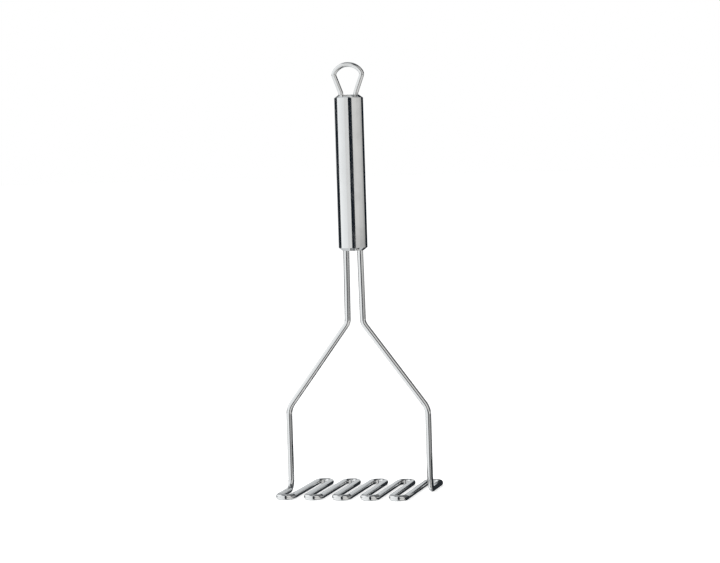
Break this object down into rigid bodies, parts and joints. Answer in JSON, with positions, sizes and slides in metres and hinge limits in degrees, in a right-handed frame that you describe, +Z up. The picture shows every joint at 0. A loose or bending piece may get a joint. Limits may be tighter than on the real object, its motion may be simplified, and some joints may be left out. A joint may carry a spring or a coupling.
{
  "type": "potato masher",
  "caption": "Wire potato masher with a hollow round handle, a hanging loop, two bent legs and a flat zigzag wire base.",
  "frame": {"origin": "on the table under the middle of the handle, which is the bottom centre of the bounding box", "axes": "+Z up along the handle, +X from the left leg to the right leg, +Y to the back along the base's strands"},
  "size_m": [0.1, 0.074, 0.2875],
  "materials": {
    "polished_wire": "polished stainless steel round wire",
    "polished_tube": "mirror polished stainless steel tube",
    "weld": "as-welded stainless steel, inside the handle"
  },
  "bodies": {
    "root": {"masher_wire": "polished_wire", "handle_tube": "polished_tube", "bottom_end_cap": "polished_tube", "top_end_cap": "polished_tube", "hanging_loop": "polished_wire", "leg_weld_beads": "weld", "loop_weld_beads": "weld"}
  },
  "joints": []
}
